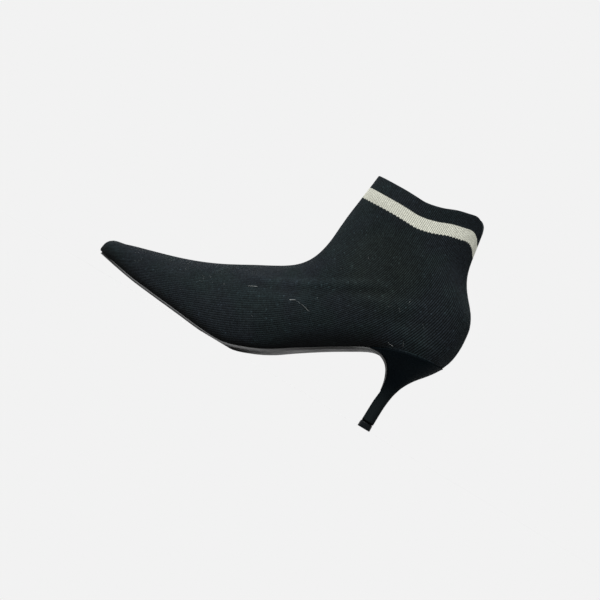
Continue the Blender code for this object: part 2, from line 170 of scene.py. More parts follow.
# The knit: ribs run from the toe along the vamp and turn up into the shaft.
# SLOPE_ALONG is their slope in the foot, in degrees, by X; it turns to SHAFT_SLOPE
# between the two heights of TURN.
SLOPE_ALONG = (
    (-210, 20), (-170, 15), (-130, 17), (-110, 24), (-90, 34), (-70, 42),
    (-50, 50), (-30, 56), (-10, 67), (20, 71),
)
SHAFT_SLOPE = 88.0
TURN = (70.0, 130.0)
RIB_PITCH = ((-210, 1.3), (-120, 1.4), (-60, 1.35), (-10, 1.35), (30, 1.3))
COLLAR_PITCH = 1.25
COLLAR_PITCH_RISE = (90, 150)  # heights over which the pitch becomes the collar's
COURSE_PITCH = 1.05
FIRM_DIRECTION = 5.0  # how much more the fit holds the direction than the pitch
TWIST = 0.2  # what holds a quad's corners against twisting
FLAT_QUAD = 0.05  # quads below this area don't count in the fit
COLUMN_SPLIT = 4  # fine columns to a column of the wall
RIB_SAMPLES = 4  # mesh columns to a rib
RIB_HEIGHT = 0.40
RIB_ROUNDNESS = 0.75  # the power that rounds a rib's profile
RIB_SINK = 0.6  # the share of a rib's height that lies below the wall
ODD_RIB = 0.93  # the share of the height that every second rib has
LOW_RIBS, RIB_GAIN = 0.55, 0.45  # share of the height at the toe, and its gain
RIB_RISE = (-100.0, -20.0)  # over this range of X
ROW_STEP = 2.5  # mesh rows along the ribs
RIM_ANGLES = (30, 60, 90, 120, 150)
STRIPE = (10.4, 19.0)  # below the rim

# Near the feather line: the ribs fade out over EDGE_WIDTH, and over WAIST_EDGE more
# between the two ranges of WAIST; the creases are held back over CREASE_HOLD; the way to
# the inside turns from level over INSIDE_TURN; the map of the distance ends at EDGE_CAP.
EDGE_WIDTH = 2.2
WAIST_EDGE = 3.4
WAIST = ((-90, -60), (-30, -5))
CREASE_HOLD = 4.0
INSIDE_TURN = 6.0
EDGE_CAP = 4.0

# The nose of the knit, which bulges over the tip of the sole: the swell grows toward the
# toe over NOSE_ALONG by X, and up from the sole over NOSE_EDGE.
NOSE_CENTRE = (-204.0, 7.0, 14.0)
NOSE_ALONG = (-207.0, -217.0)
NOSE_EDGE = (-4.0, 2.0)
NOSE_SWELL = 2.2
SMOOTH_NOSE = (-218.0, -206.0)  # where the ribs begin, by X

# The soft creases: the side they lie on (-1 outer, 1 inner), their height (a trough is
# below zero), half their width, and their line as x and z.
CREASES = (
    # The long instep fold of the outer side: a ridge, the trough below it, a low ridge
    (-1, 0.85, 2.6, (
        (-132, 47), (-112, 52), (-91.7, 60.7), (-61.7, 77.2), (-42.7, 88.7), (-27, 95),
    )),
    (-1, -0.45, 2.4, (
        (-125, 44), (-109, 48), (-88.7, 56.7), (-58.7, 72.7), (-36.7, 85), (-17, 92),
    )),
    (-1, 0.40, 3.2, ((-120, 36), (-104, 43), (-86, 50), (-68, 59))),
    # Soft folds at the ankle and over the heel
    (-1, 0.55, 3.0, ((-58, 68), (-44, 75), (-29, 82), (-17, 88), (-4, 94), (6, 98))),
    (-1, -0.45, 3.4, ((-34, 70), (-16, 77), (0, 82), (14, 84))),
    (-1, 0.60, 2.6, ((-20, 66), (-10, 69.5), (8, 69.5), (22, 70))),
    (-1, -0.40, 4.5, ((-78, 100), (-68, 112), (-55, 125))),
    # Small steps across the forefoot
    (-1, 0.35, 2.5, ((-173, 33), (-166, 36), (-158, 40))),
    (-1, 0.35, 2.5, ((-152, 40), (-146, 44), (-138, 48))),
    # The inner side, which the photo hides
    (1, -0.70, 2.8, ((-134, 45), (-108, 53), (-84, 64), (-56, 79), (-26, 92))),
    (1, 0.50, 3.0, ((-96, 65), (-72, 76), (-48, 88))),
    (1, 0.45, 3.4, ((-60, 64), (-36, 74), (-10, 86), (8, 92))),
    (1, -0.40, 4.5, ((-76, 108), (-58, 116), (-36, 124))),
)
CREASE_ENDS = 0.2  # the share of a crease's length that each end takes to fade
CREASE_FACING = 0.3  # how far a face turns to a crease's side before it takes part

# Lint on the outer side: radius, then its line as x and z.
LINT = (
    (0.24, ((-115.2, 42.8), (-112.4, 44.4), (-109.4, 46.0))),
    (0.18, ((-85.6, 49.2), (-83.7, 50.6), (-81.7, 51.4))),
    (0.07, ((-81.7, 51.4), (-78.2, 51.1), (-73.8, 50.5), (-70.0, 49.5))),
    (0.09, ((-13.7, 59.6), (-11.4, 58.9), (-8.6, 58.8))),
    (0.09, ((-4.4, 65.4), (-3.4, 63.4), (-2.6, 61.8))),
)
LINT_LIFT = 0.16
LINT_SIDES = 6
LINT_TAPER = 0.45

# The loose fibres, which a seeded draw scatters between two lines of height by X.
LOOSE_FIBRES = 50
FIBRE_SEED = 7
FIBRE_ALONG = (-200, 20)
FIBRE_TOP = ((-218, 19), (-143, 47), (-98, 73), (-86, 110), (20, 150))
FIBRE_BOTTOM = ((-218, 14), (-129, 4), (-96, 10), (-36, 46), (20, 66))
FIBRE_UP = (0.15, 0.9)  # the share of the way from bottom to top
FIBRE_REACH = (0.8, 2.2)  # half the length
FIBRE_BEND = 0.6  # how far the middle lies off a straight fibre, as a spread
FIBRE_RADIUS = (0.015, 0.028)

# The other pieces
TIP_INSET = 0.6
OUTSOLE_SUBSTEPS = 10
OUTSOLE_CROWN = 0.25
FLAP_SUBSTEPS = 6
FLAP_CROWN = 0.1
TIP_ALONG = (-204.0, -218.0)  # where the sole draws in by TIP_INSET
FINE_SUBSTEPS = 6
LINING_PROFILE = (
    # share across, height
    (0.0, 0.0), (0.0, 0.6), (0.02, 0.85), (0.06, 0.97), (0.2, 1.0), (0.35, 1.03), (0.5, 1.05),
    (0.65, 1.03), (0.8, 1.0), (0.94, 0.97), (0.98, 0.85), (1.0, 0.6), (1.0, 0.0),
)
HEEL_STATIONS = 28
TOP_PIECE_ENDS = (-4.2, 4.9)
TOP_PIECE_HALF = 4.8
TOP_PIECE_CORNER = 0.22
TOP_PIECE_FULL = 2.2
TOP_PIECE_STATIONS = 24

# Colours of the knit; the tints multiply the dark one
DARK_KNIT = ((0.0030, 0.0048, 0.0060, 1), (0.0088, 0.0137, 0.0165, 1))
PATCHED_KNIT = (0.0092, 0.0140, 0.0150, 1)
CREAM = ((0.56, 0.56, 0.47, 1), (0.80, 0.81, 0.71, 1))
TINTS = ((0.95, 1.03, 0.97, 1), (1.08, 0.975, 1.03, 1))
ANKLE_TINT = (1.12, 1.08, 0.88, 1)
ANKLE_CENTRE = (-0.042, -0.030, 0.100)  # metres, as is the next
ANKLE_RADII = (0.042, 0.012)

# Soft steps of the knit's shade: start and end, then the values before and after.
# ALONG steps go by X in metres, EDGE steps by the map of the distance to the sole.
# GROOVE_SHADE steps set how deep the painted shade in the rib grooves is, against lighter crests
GROOVE_SHADE_ALONG = (-0.09, 0.0, 0.42, 1.4)
GROOVE_SHADE_EDGE = (3.9, 1.2, 0.42, 1.15)
BRIGHT_STITCHES = (0.985, 0.995, 0.0, 0.8)
# Painted light on the crease ridges and painted shade in their troughs, by the crease height
CREASE_LIGHT_AND_SHADE = (-0.5, 0.8, 0.86, 1.30)
STRIPE_ALONG = (-0.07, 0.03, 0.72, 1.0)
# Painted shade along the sole, where the knit turns under
SOLE_EDGE_SHADE = (0.0, 3.4, 0.16, 1.0)
SEAT_ALONG = (-0.02, 0.0)
# A painted highlight along the knit's lowest, folded edge at the heel seat
FOLD_HIGHLIGHT_EDGE = (0.8, 0.45)
FOLD_HIGHLIGHT_GAIN = 1.3
DARKEST = 0.05

# The camera, the lights and the room, in metres and degrees
AZIMUTH = 6.2
ROLL = 30.944
TARGET = (-0.0831, 0.0, 0.0535)
VIEW_WIDTH = 0.4135
DISTANCE = 5.0
EYE_HEIGHT = 0.0
LIGHTS = (
    # name, place, size, power
    ("key", (-0.7, -0.9, 1.5), 1.0, 60.0),
    ("fill", (0.9, -0.8, 0.7), 0.8, 2.0),
    ("back", (-0.1, 1.5, 1.0), 1.0, 26.0),
)
LIGHT_AIM = (-0.08, 0.0, 0.06)
FLOOR_RADIUS = 0.62
FLOOR_SEGMENTS = 128
FLOOR_PLACE = (-0.09, 0.0, -0.0001)
SKY = (
    # brightness of the surroundings, by the height of the direction
    ("From Min", 0.06), ("From Max", 0.3), ("To Min", 0.888), ("To Max", 0.3),
)


def catmull_rom(rows, substeps):
    """Return the rows with smoothly interpolated rows between them."""
    table = np.array(rows, float)
    places = np.arange((len(table) - 1) * substeps + 1) / substeps
    out = sample(table, places, 2 * table[0] - table[1], 2 * table[-1] - table[-2])
    out[-1] = table[-1]
    return out


def as_sections(columns, rows, substeps):
    """Return a smooth table as a dictionary of columns."""
    table = catmull_rom(rows, substeps)
    return {name: table[:, i] for i, name in enumerate(columns)}


def last_sections(substeps=SUBSTEPS):
    """Return the last's sections, the feather line turning a corner behind the seat."""
    last = as_sections(LAST_COLUMNS, LAST_ROWS, substeps)
    sole = as_sections(LAST_COLUMNS, LAST_ROWS[:SEAT_END_ROW + 1], substeps)
    shaft = as_sections(LAST_COLUMNS, LAST_ROWS[SEAT_END_ROW:], substeps)
    for name in ("low_x", "low_z", "feather_out", "feather_in"):
        last[name] = np.append(sole[name], shaft[name][1:])
    return last


def wall_point(last, i, side, step):
    """Return one point of the last's wall, from the feather line (0) to the ridge."""
    name = "out" if side < 0 else "in"
    wall = last["wall_" + name][i]
    ratio = 0.0
    if wall > 0:
        ratio = min(last["feather_" + name][i] / wall, FEATHER_SHARE)
    low_power = 2 / last["full_low"][i]
    start = math.asin(ratio ** (1 / low_power))
    at = last["at"][i]
    if step <= LOW_STEPS:
        turn = start + (math.pi / 2 - start) * (step / LOW_STEPS) ** LOW_SPREAD
        y = wall * math.sin(turn) ** low_power
        share = at * (1 - max(math.cos(turn) / math.cos(start), 0.0) ** low_power)
    else:
        turn = math.pi / 2 * (1 + (step - LOW_STEPS) / HIGH_STEPS)
        power = 2 / last["full_high"][i]
        y = wall * max(math.sin(turn), 0.0) ** power
        share = at + (1 - at) * (-math.cos(turn)) ** power
    x = last["low_x"][i] + (last["high_x"][i] - last["low_x"][i]) * share
    z = last["low_z"][i] + (last["high_z"][i] - last["low_z"][i]) * share
    below = max(last["low_z"][-1] - last["low_z"][i], last["high_z"][-1] - last["high_z"][i])
    if below < COLLAR_FADE:
        fade = 0.5 + 0.5 * math.cos(math.pi * below / COLLAR_FADE)
        z += fade * float(interpolate(COLLAR_WAVE, share))
    return (x, last["mid"][i] + side * y, z)


def wall_grid(last):
    """Return the outer wall's points, a row per section from one feather line over the
    ridge to the other, with the fan of sections at the ankle smoothed."""
    steps = LOW_STEPS + HIGH_STEPS
    grid = np.array([
        [wall_point(last, i, -1, step) for step in range(steps + 1)]
        + [wall_point(last, i, 1, step) for step in range(steps - 1, -1, -1)]
        for i in range(len(last["mid"]))
    ])
    place = (np.arange(len(grid)) / SUBSTEPS - RELAX_ROWS[0]) / (RELAX_ROWS[1] - RELAX_ROWS[0])
    weight = np.sin(np.pi * np.clip(place, 0.0, 1.0))[:, None, None] ** 0.5
    weight = np.repeat(weight, grid.shape[1], axis=1)
    weight[:, [0, steps, -1]] = 0.0
    for _ in range(RELAX_PASSES):
        for pull in RELAX_PULLS:
            before, after = np.roll(grid, 1, axis=1), np.roll(grid, -1, axis=1)
            mean = grid.copy()
            mean[1:-1] = (grid[:-2] + grid[2:] + before[1:-1] + after[1:-1]) / 4
            grid = grid + weight * pull * (mean - grid)
    return grid


def feather_line(last, side, offset, substeps=SUBSTEPS):
    """Return one side of the feather line in plan, moved outward by ``offset``."""
    count = SEAT_END_ROW * substeps + 1
    half = last["feather_out" if side < 0 else "feather_in"][:count]
    x, y = last["low_x"][:count], last["mid"][:count] + side * half
    dx, dy = np.gradient(x), np.gradient(y)
    dx[0], dx[-1] = 0.0, 0.0
    length = np.hypot(dx, dy)
    return x - side * offset * dy / length, y + side * offset * dx / length


def seat_height(last, x, substeps=SUBSTEPS):
    """Return the height of the feather line at ``x`` and its slope."""
    count = SEAT_END_ROW * substeps + 1
    xs, zs = last["low_x"][:count], last["low_z"][:count]
    return np.interp(x, xs, zs), np.interp(x, xs, np.gradient(zs, xs))


def unit(vectors):
    """Return the vectors at length one."""
    length = np.linalg.norm(vectors, axis=-1, keepdims=True)
    return vectors / np.maximum(length, 1e-9)


def smooth(value, start, end):
    """Return 0 before ``start``, 1 after ``end`` and a soft step between."""
    t = np.clip((np.asarray(value, float) - start) / (end - start), 0.0, 1.0)
    return t * t * (3 - 2 * t)


def sample(points, place, before, after):
    """Interpolate smoothly along the first axis at fractional places."""
    padded = np.concatenate([before[None], points, after[None]])
    i = np.clip(place.astype(int), 0, len(points) - 2)
    t = (place - i).reshape((-1,) + (1,) * (points.ndim - 1))
    p0, p1, p2, p3 = padded[i], padded[i + 1], padded[i + 2], padded[i + 3]
    cube = 3 * (p1 - p2) + p3 - p0
    return p1 + 0.5 * t * (p2 - p0 + t * (2 * p0 - 5 * p1 + 4 * p2 - p3 + t * cube))


def interpolate(table, value):
    """Read a small table of pairs at ``value``."""
    places, values = zip(*table)
    return np.interp(value, places, values)


def surface_normals(grid):
    """Return the outward normals of a grid of wall points."""
    along, across = np.gradient(grid, axis=0), np.gradient(grid, axis=1)
    return unit(np.cross(along, across))


def knit_coordinates(grid):
    """Return each wall point's rib number and course number.

    The slope tables give the rib direction and the pitch tables the spacing.  Both numbers
    are a least squares fit over the wall's quads, which holds the direction more firmly
    than the spacing.
    """
    rows, cols = grid.shape[:2]
    number = np.arange(rows * cols).reshape(rows, cols)
    corners_of = [number[:-1, :-1], number[1:, :-1], number[1:, 1:], number[:-1, 1:]]
    corners_of = np.stack([n.ravel() for n in corners_of], -1)
    a, b, c, d = (grid.reshape(-1, 3)[corners_of[:, k]] for k in range(4))
    middle, along, across = (a + b + c + d) / 4, (b + c - a - d) / 2, (c + d - a - b) / 2
    normal = unit(np.cross(along, across))
    x, z = middle[:, 0], middle[:, 2]
    low = interpolate(SLOPE_ALONG, x)
    slope = np.radians(low + (SHAFT_SLOPE - low) * smooth(z, *TURN))
    rib = np.stack([np.cos(slope), np.zeros_like(slope), np.sin(slope)], -1)
    rib = unit(rib - normal * (rib * normal).sum(-1, keepdims=True))
    beside = np.cross(normal, rib)
    pitch = interpolate(RIB_PITCH, x)
    pitch = pitch + (COLLAR_PITCH - pitch) * smooth(z, *COLLAR_PITCH_RISE)
    frame_of = np.einsum("pni,qni->npq", np.stack([along, across]), np.stack([rib, beside]))
    area = np.linalg.norm(np.cross(along, across), axis=-1)
    good = area > FLAT_QUAD
    inverse = np.linalg.inv(np.where(good[:, None, None], frame_of, np.eye(2)))
    differences = np.array([[-0.5, 0.5, 0.5, -0.5], [-0.5, -0.5, 0.5, 0.5]])
    gradient = np.einsum("nij,jk->nik", inverse, differences)
    weight = np.where(good, area, 0.0)
    swirl = TWIST * np.array([1, -1, 1, -1])
    numbers = []
    fits = (
        ((FIRM_DIRECTION, 1.0), (0.0, 1 / pitch)),
        ((1.0, FIRM_DIRECTION), (1 / COURSE_PITCH, 0.0)),
    )
    for firm, goal in fits:
        local = np.repeat(np.outer(swirl, swirl)[None], len(area), axis=0)
        pull = np.zeros((len(area), 4))
        for part in (0, 1):
            row = gradient[:, part]
            strength = weight * firm[part]
            local += strength[:, None, None] * row[:, :, None] * row[:, None, :]
            pull += (strength * goal[part])[:, None] * row
        matrix, result = 1e-6 * np.eye(rows * cols), np.zeros(rows * cols)
        np.add.at(matrix, (corners_of[:, :, None], corners_of[:, None, :]), local)
        np.add.at(result, corners_of, pull)
        numbers.append(np.linalg.solve(matrix, result).reshape(rows, cols))
    return np.stack(numbers, -1)


def fine_wall():
    """Return the wall as a fine grid: place, rib and course numbers, and normals."""
    last = last_sections()
    coarse = wall_grid(last)
    coarse = np.concatenate([coarse, knit_coordinates(coarse)], axis=-1)
    lengths = np.linalg.norm(coarse[1:, :, :3] - coarse[:-1, :, :3], axis=-1).mean(axis=1)
    travel = np.append(0.0, np.cumsum(lengths))
    count = int(travel[-1] / ROW_STEP) + 1
    places = np.interp(np.linspace(0, travel[-1], count), travel, np.arange(len(travel)))
    corner = SEAT_END_ROW * SUBSTEPS
    places[np.argmin(abs(places - corner))] = corner
    rows = sample(coarse, places, 2 * coarse[0] - coarse[1], 2 * coarse[-1] - coarse[-2])
    straight, straight_end = (
        np.stack([
            np.interp(places, np.arange(len(coarse)), coarse[:, column, c])
            for c in range(coarse.shape[-1])
        ], -1)
        for column in (0, -1)
    )
    near = abs(places - corner) < 1
    rows[near, 0], rows[near, -1] = straight[near], straight_end[near]
    closed = places >= corner
    steps = np.arange((rows.shape[1] - 1) * COLUMN_SPLIT + 1) / COLUMN_SPLIT
    turned = np.swapaxes(rows, 0, 1)
    before, after = 2 * turned[0] - turned[1], 2 * turned[-1] - turned[-2]
    before[closed, :3], after[closed, :3] = turned[-2][closed, :3], turned[1][closed, :3]
    fine = np.swapaxes(sample(turned, steps, before, after), 0, 1)
    normals = surface_normals(fine[..., :3])
    for column in (0, -1):
        normals[closed, column, 1] = 0.0
    normals = unit(normals)
    return fine, normals, closed


def crease_relief(points, normals):
    """Return how far the wall stands out or sinks at each point, in millimetres."""
    x, z = points[..., 0], points[..., 2]
    relief = np.zeros(x.shape)
    for side, height, half_width, line in CREASES:
        line = catmull_rom(line, 4)
        steps = line[1:] - line[:-1]
        lengths = np.hypot(steps[:, 0], steps[:, 1])
        nearest, share = np.full(x.shape, np.inf), np.zeros(x.shape)
        for k, (start, step, length) in enumerate(zip(line, steps, lengths)):
            t = ((x - start[0]) * step[0] + (z - start[1]) * step[1]) / length ** 2
            t = np.clip(t, 0.0, 1.0)
            distance = np.hypot(x - start[0] - t * step[0], z - start[1] - t * step[1])
            closer = distance < nearest
            nearest = np.where(closer, distance, nearest)
            share = np.where(closer, (lengths[:k].sum() + t * length) / lengths.sum(), share)
        ends = smooth(share, 0.0, CREASE_ENDS) * smooth(share, 1.0, 1.0 - CREASE_ENDS)
        facing = smooth(side * normals[..., 1], 0.0, CREASE_FACING)
        relief += height * ends * facing * np.exp(-(nearest / half_width) ** 2)
    return relief


def nose_swell(points, edge):
    """Return how the knit bulges over the sole's tip: a shift of each point."""
    away = unit(points - np.array(NOSE_CENTRE))
    amount = NOSE_SWELL * smooth(points[..., 0], *NOSE_ALONG)
    return away * (amount * smooth(edge, *NOSE_EDGE))[..., None]


def mesh_object(name, vertices, faces, material, layers=None):
    """Weld a mesh given in millimetres and link it, with its maps and smooth faces."""
    mesh = bpy.data.meshes.new(name)
    mesh.from_pydata((np.asarray(vertices) * MM).tolist(), [], faces)
    corner = np.zeros(len(mesh.loops), np.int32)
    mesh.loops.foreach_get("vertex_index", corner)
    for layer_name, values in (layers or {}).items():
        layer = mesh.uv_layers.new(name=layer_name)
        layer.uv.foreach_set("vector", np.asarray(values, np.float32)[corner].ravel())
    mesh.materials.append(material)
    bm = bmesh.new()
    bm.from_mesh(mesh)
    bmesh.ops.remove_doubles(bm, verts=bm.verts, dist=WELD_DISTANCE)
    bmesh.ops.dissolve_degenerate(bm, edges=bm.edges, dist=SHORTEST_EDGE)
    bm.to_mesh(mesh)
    bm.free()
    mesh.shade_smooth()
    obj = bpy.data.objects.new(name, mesh)
    bpy.context.scene.collection.objects.link(obj)
    return obj


def grid_faces(number):
    """Return the quads of a grid of vertex numbers."""
    return np.stack([
        number[:-1, :-1], number[1:, :-1], number[1:, 1:], number[:-1, 1:],
    ], -1).reshape(-1, 4).tolist()


def ring_faces(number):
    """Return the quads between closed rings of vertex numbers."""
    return grid_faces(np.concatenate([number, number[:, :1]], axis=1))


def tube_faces(number):
    """Return the quads between closed rings and the flat faces at both ends."""
    return ring_faces(number) + [number[0].tolist(), number[-1][::-1].tolist()]


def rib_columns(wall):
    """Return the wall with columns along the ribs: points, normals, maps and edge distance.

    The maps are the rib number, the course number and the depth below the rim.
    """
    fine, normals, closed = wall
    ribs = fine[..., 3]
    low, high = math.floor(ribs.min()), math.ceil(ribs.max())
    marks = np.arange(low * RIB_SAMPLES, high * RIB_SAMPLES + 1) / RIB_SAMPLES
    travel = np.zeros(fine.shape[:2])
    travel[:-1] = np.linalg.norm(fine[1:, :, :3] - fine[:-1, :, :3], axis=-1)
    below = np.cumsum(travel[::-1], axis=0)[::-1]
    outside, turned, maps, edge = [], [], [], []
    for row, normal, depth, is_closed in zip(fine, normals, below, closed):
        rising = np.maximum.accumulate(row[:, 3] + 1e-5 * np.arange(len(row)))
        place = np.interp(marks, rising, np.arange(len(row)))
        packed = np.concatenate([row, normal, depth[:, None]], axis=-1)
        first, final = 2 * packed[0] - packed[1], 2 * packed[-1] - packed[-2]
        if is_closed:
            first[:3], final[:3] = packed[-2, :3], packed[1, :3]
        line = sample(packed, place, first, final)
        along = np.append(0.0, np.cumsum(np.linalg.norm(np.diff(row[:, :3], axis=0), axis=-1)))
        reach = np.interp(place, np.arange(len(row)), along)
        outside.append(line[:, :3])
        turned.append(unit(line[:, 5:8]))
        maps.append(np.stack([np.clip(marks, rising[0], rising[-1]), line[:, 4], line[:, 8]], -1))
        edge.append(np.minimum(reach, along[-1] - reach))
    return np.array(outside), np.array(turned), np.array(maps), np.array(edge)


def build_knit(material, wall):
    """Build the knitted upper: ribbed outside, folded rim and plain inside."""
    closed = wall[2]
    outside, turned, maps, edge = rib_columns(wall)
    along = outside[..., 0]
    waist = smooth(along, *WAIST[0]) * (1 - smooth(along, *WAIST[1]))
    width = np.where(closed[:, None], 1.0, EDGE_WIDTH + WAIST_EDGE * waist)
    fade = smooth(edge / width, 0.0, 1.0)
    phase = maps[..., 0]
    odd = np.where(np.floor(phase) % 2 == 1, ODD_RIB, 1.0)
    profile = odd * np.abs(np.sin(np.pi * phase)) ** RIB_ROUNDNESS
    fade = fade * smooth(along, *SMOOTH_NOSE)
    hold = np.where(closed[:, None], 1.0, smooth(edge, 0.0, CREASE_HOLD))
    height = RIB_HEIGHT * (LOW_RIBS + RIB_GAIN * smooth(along, *RIB_RISE))
    creases = hold * crease_relief(outside, turned)
    relief = height * fade * (profile - RIB_SINK) + creases
    surface = outside + turned * relief[..., None] + nose_swell(outside, edge)
    up = unit(surface[-1] - surface[-2])
    radius = WALL / 2
    surface[-1] -= up * radius
    rim = []
    for angle in np.radians(RIM_ANGLES):
        turn = turned[-1] * (math.cos(angle) - 1) * radius
        rim.append(surface[-1] + turn + up * radius * math.sin(angle))
    flat = turned.copy()
    flat[..., 2] *= smooth(edge, 0.0, INSIDE_TURN)
    flat[closed, :, 2] = turned[closed, :, 2]
    inside = outside - unit(flat) * WALL
    inside[-1] -= up * radius
    coarse = inside[:, ::RIB_SAMPLES]
    shell = np.concatenate([surface, rim])
    shell_map = np.concatenate([maps, np.repeat(maps[-1:], len(rim), axis=0)])
    count = shell.shape[0] * shell.shape[1]
    shell_number = np.arange(count).reshape(shell.shape[:2])
    core_number = count + np.arange(coarse.shape[0] * coarse.shape[1]).reshape(coarse.shape[:2])
    faces = grid_faces(shell_number)
    faces += [face[::-1] for face in grid_faces(core_number)]
    top, inner = shell_number[-1], core_number[-1]
    for k in range(coarse.shape[1] - 1):
        fan = top[k * RIB_SAMPLES:(k + 1) * RIB_SAMPLES + 1].tolist()
        faces.append([inner[k], inner[k + 1]] + fan[::-1])
    for column, turned_over in ((0, False), (-1, True)):
        outer_side = shell_number[:len(surface), column]
        inner_side = core_number[:, column]
        for i in range(len(surface) - 1):
            if closed[i]:
                break
            face = [outer_side[i], inner_side[i], inner_side[i + 1], outer_side[i + 1]]
            faces.append(face[::-1] if turned_over else face)
    vertices = np.concatenate([shell.reshape(-1, 3), coarse.reshape(-1, 3)])
    core_map = maps[:, ::RIB_SAMPLES]
    numbers = np.concatenate([shell_map.reshape(-1, 3), core_map.reshape(-1, 3)])
    edge = np.where(closed[:, None], EDGE_CAP, np.minimum(edge / width, EDGE_CAP))
    feather, crease_height = (
        np.concatenate([
            np.concatenate([values, np.repeat(values[-1:], len(rim), axis=0)]).ravel(),
            values[:, ::RIB_SAMPLES].ravel(),
        ])
        for values in (edge, creases)
    )
    layers = {
        "knit": numbers[:, :2],
        "place": np.stack([numbers[:, 2], feather], -1),
        # The crease height, from which the knit's colour paints light on ridges and shade in
        # troughs
        "crease_height": np.stack([crease_height, crease_height], -1),
    }
    faces = [[int(v) for v in face] for face in faces]
    return mesh_object("knit_upper", vertices, faces, material, layers)


def surface_path(line, wall, side, lift):
    """Lay a line of x and z on one side of the wall; return its points and normals."""
    fine, normals, _ = wall
    facing = side * normals[..., 1] > 0.1
    points, directions = fine[..., :3][facing], normals[facing]
    path = []
    for x, z in line:
        distance = (points[:, 0] - x) ** 2 + (points[:, 2] - z) ** 2
        near = np.argsort(distance)[:6]
        share = 1 / (distance[near] + 0.3)
        share = (share / share.sum())[:, None]
        normal = unit((directions[near] * share).sum(axis=0))
        depth = (points[near] * share).sum(axis=0)[1]
        height = lift + crease_relief(np.array([[x, depth, z]]), normal[None])[0]
        path.append((np.array([x, depth, z]) + normal * height, normal))
    return path


def loose_fibres():
    """Scatter short bent fibres and return the side, radius and line of each."""
    random = np.random.default_rng(FIBRE_SEED)
    fibres = []
    for _ in range(LOOSE_FIBRES):
        x = random.uniform(*FIBRE_ALONG)
        random.random()    # Nothing uses this draw, but without it the scatter would change.
        bottom = interpolate(FIBRE_BOTTOM, x)
        top = interpolate(FIBRE_TOP, x)
        z = bottom + (top - bottom) * random.uniform(*FIBRE_UP)
        turn = random.uniform(0, math.pi)
        length = random.uniform(*FIBRE_REACH)
        bend = random.normal(0, FIBRE_BEND)
        line = []
        for reach in (-1.0, 0.0, 1.0):
            line.append((
                x + length * reach * math.cos(turn) - bend * reach ** 2 * math.sin(turn),
                z + length * reach * math.sin(turn) + bend * reach ** 2 * math.cos(turn),
            ))
        side = random.choice((-1, 1))
        radius = random.uniform(*FIBRE_RADIUS)
        fibres.append((side, radius, line))
    return fibres


def build_lint(material, wall):
    """Build the hairs and bits of fluff that lie on the knit, as thin tubes."""
    fibres = [(-1, radius, line) for radius, line in LINT] + loose_fibres()
    vertices, faces = [], []
    for side, radius, line in fibres:
        path = surface_path(catmull_rom(line, 3), wall, side, LINT_LIFT + radius)
        spine = np.array([point for point, _ in path])
        along = unit(np.gradient(spine, axis=0))
        start = len(vertices)
        for k, (point, normal) in enumerate(path):
            beside = np.cross(along[k], normal)
            taper = LINT_TAPER if k in (0, len(path) - 1) else 1.0
            for turn in np.arange(LINT_SIDES) * 2 * math.pi / LINT_SIDES:
                vertices.append(
                    point + radius * taper * (math.cos(turn) * normal + math.sin(turn) * beside)
                )
        number = start + np.arange(len(path) * LINT_SIDES).reshape(len(path), LINT_SIDES)
        faces += tube_faces(number)
    return mesh_object("lint_fibres", vertices, faces, material)


def sole_section(outer, inner, thickness, crown):
    """Return half widths and drops round one section of the outsole."""
    scale = thickness / SOLE_THICKNESS
    side = (
        # inset, drop
        (1.40, -0.28), (0.80, -0.26), (0.50, -0.02), (0.14, 0.06), (0.0, 0.22),
        (0.03, 0.62), (0.22, 0.86), (0.62, 1.20), (1.10, 1.42), (1.90, 1.50),
    )
    down = [(-outer + min(inset, outer), drop * scale) for inset, drop in side]
    up = [(inner - min(inset, inner), drop * scale) for inset, drop in side[::-1]]
    across = []
    for share in (0.2, 0.35, 0.5, 0.65, 0.8):
        y = down[-1][0] + (up[0][0] - down[-1][0]) * share
        across.append((y, scale * SOLE_THICKNESS + crown * 4 * share * (1 - share)))
    return down + across + up


def loft(name, rings, material):
    """Loft closed rings of equal length into one object with flat ends."""
    rings = np.array(rings)
    count, width = rings.shape[:2]
    number = np.arange(count * width).reshape(count, width)
    return mesh_object(name, rings.reshape(-1, 3), tube_faces(number), material)


def build_outsole(material):
    """Build the outsole: toe to waist under the feather line, then down the breast."""
    fine = OUTSOLE_SUBSTEPS
    last = last_sections(fine)
    along = last["low_x"][:SEAT_END_ROW * fine + 1]
    margin = SOLE_MARGIN - TIP_INSET * smooth(along, *TIP_ALONG)
    outer_x, outer_y = feather_line(last, -1, margin, fine)
    inner_x, inner_y = feather_line(last, 1, margin, fine)
    rings = []
    for i in range(WAIST_END_ROW * fine + 1):
        x = (outer_x[i] + inner_x[i]) / 2
        z, slope = seat_height(last, x, fine)
        length = math.hypot(1, slope)
        nx, nz = -slope / length, 1 / length
        centre, half = (outer_y[i] + inner_y[i]) / 2, (inner_y[i] - outer_y[i]) / 2
        section = sole_section(half, half, SOLE_THICKNESS, OUTSOLE_CROWN)
        rings.append([
            (x - nx * (GAP + drop), centre + y, max(z - nz * (GAP + drop), 0.0))
            for y, drop in section
        ])
    flap = as_sections(FLAP_COLUMNS, FLAP_ROWS, FLAP_SUBSTEPS)
    dx, dz = np.gradient(flap["x"]), np.gradient(flap["z"])
    length = np.hypot(dx, dz)
    for i in range(len(flap["x"])):
        nx, nz = -dz[i] / length[i], dx[i] / length[i]
        section = sole_section(
            flap["outer"][i], flap["inner"][i], flap["thickness"][i], FLAP_CROWN
        )
        rings.append([
            (flap["x"][i] - nx * drop, y, flap["z"][i] - nz * drop) for y, drop in section
        ])
    return loft("sole_glossy", rings, material)


